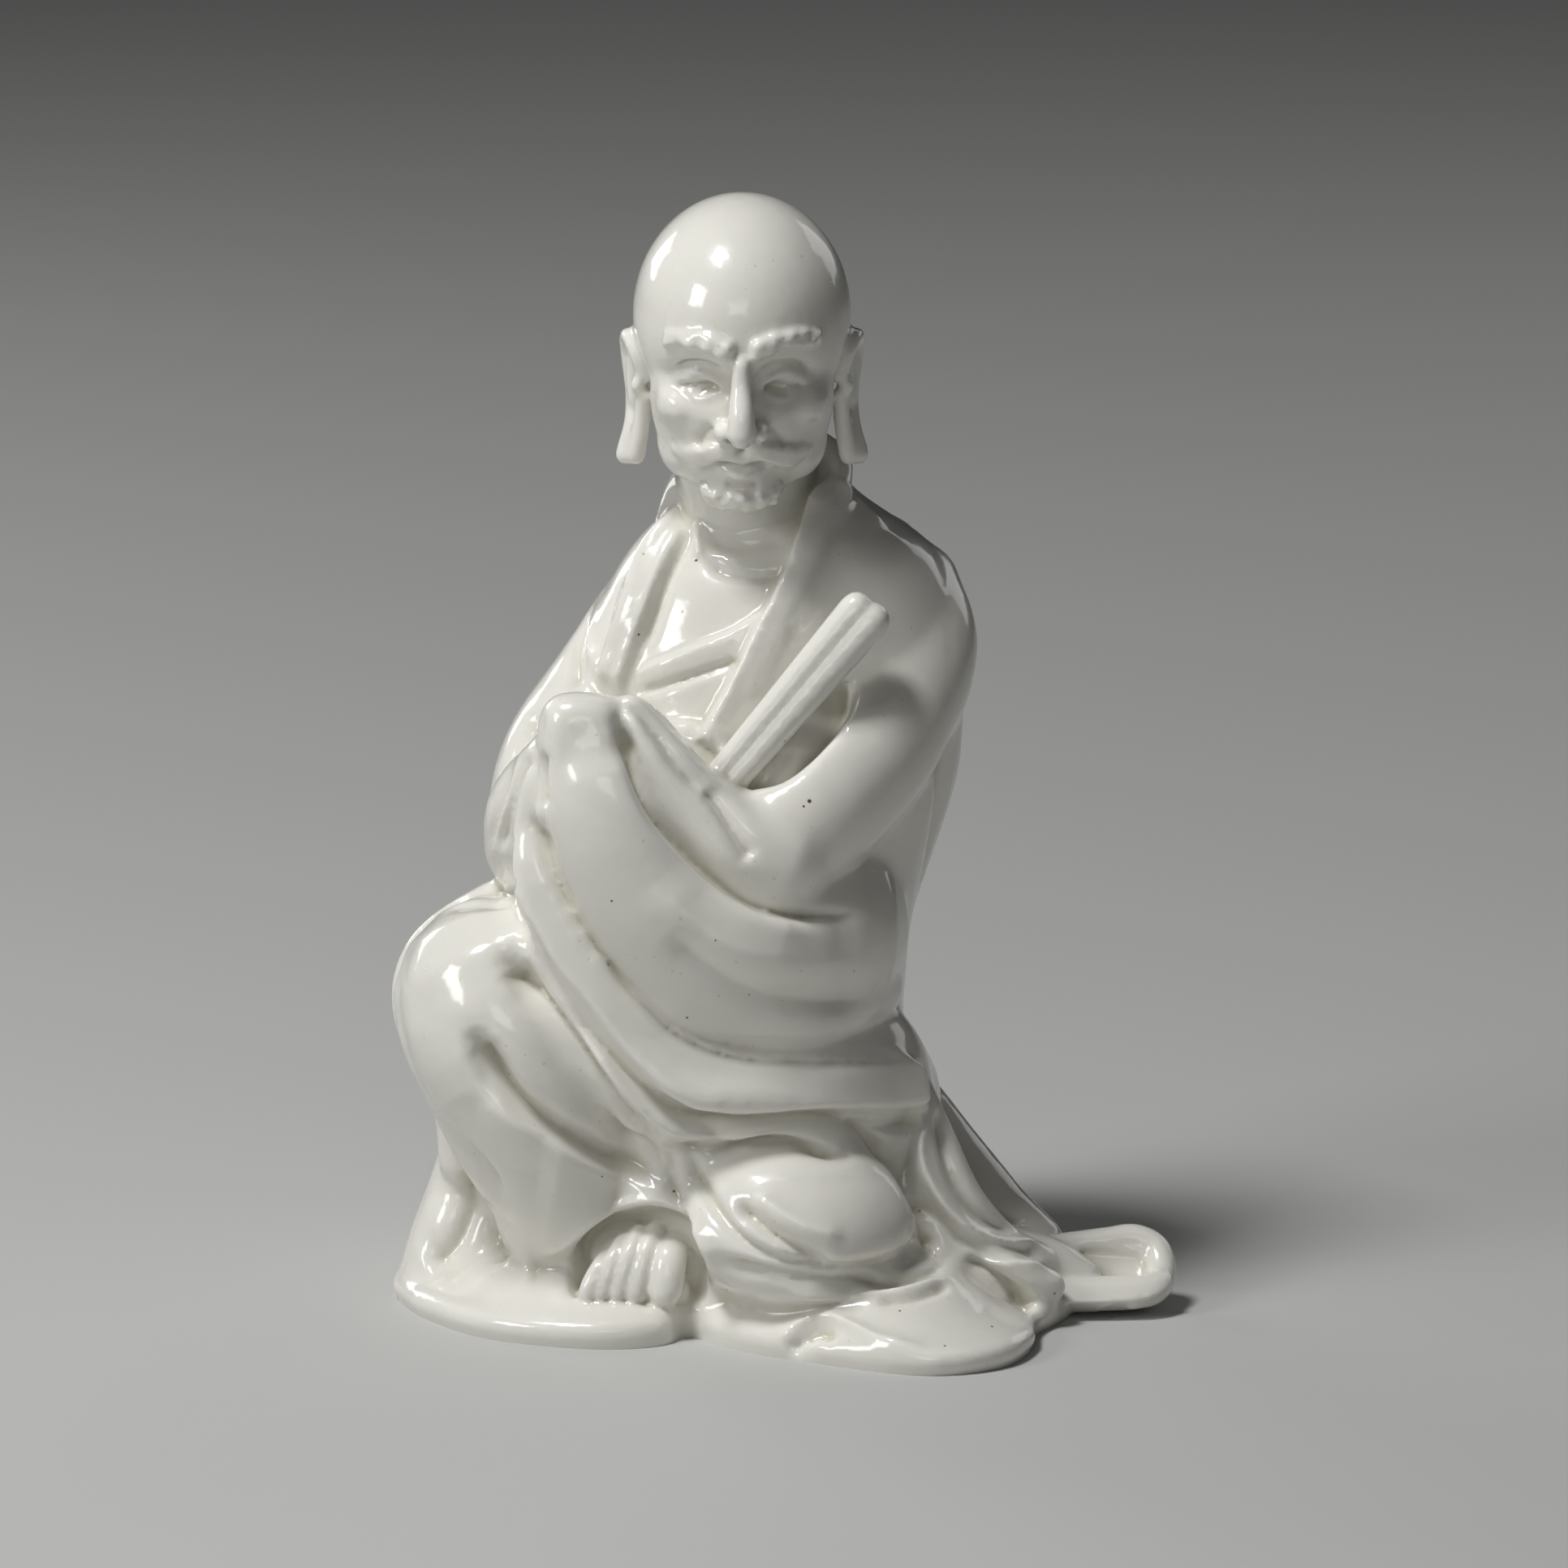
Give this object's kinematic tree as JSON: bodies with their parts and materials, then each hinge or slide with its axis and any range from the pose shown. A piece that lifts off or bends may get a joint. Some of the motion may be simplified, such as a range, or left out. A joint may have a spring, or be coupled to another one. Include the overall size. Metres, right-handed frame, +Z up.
{
  "type": "seated monk figurine",
  "caption": "White glazed porcelain figurine of a seated monk in a draped robe, one knee raised, hands in the sleeves, a scroll in the arm, hollow and open below",
  "frame": {"origin": "centre of the figure's bounding box, on the floor it stands on", "axes": "+Z up, the figure faces -Y, +X to the right of someone who faces it"},
  "size_m": [0.1388, 0.1152, 0.1987],
  "materials": {
    "white_glaze": "clear glossy glaze over white porcelain"
  },
  "bodies": {
    "root": {"monk_figure": "white_glaze"}
  },
  "joints": []
}
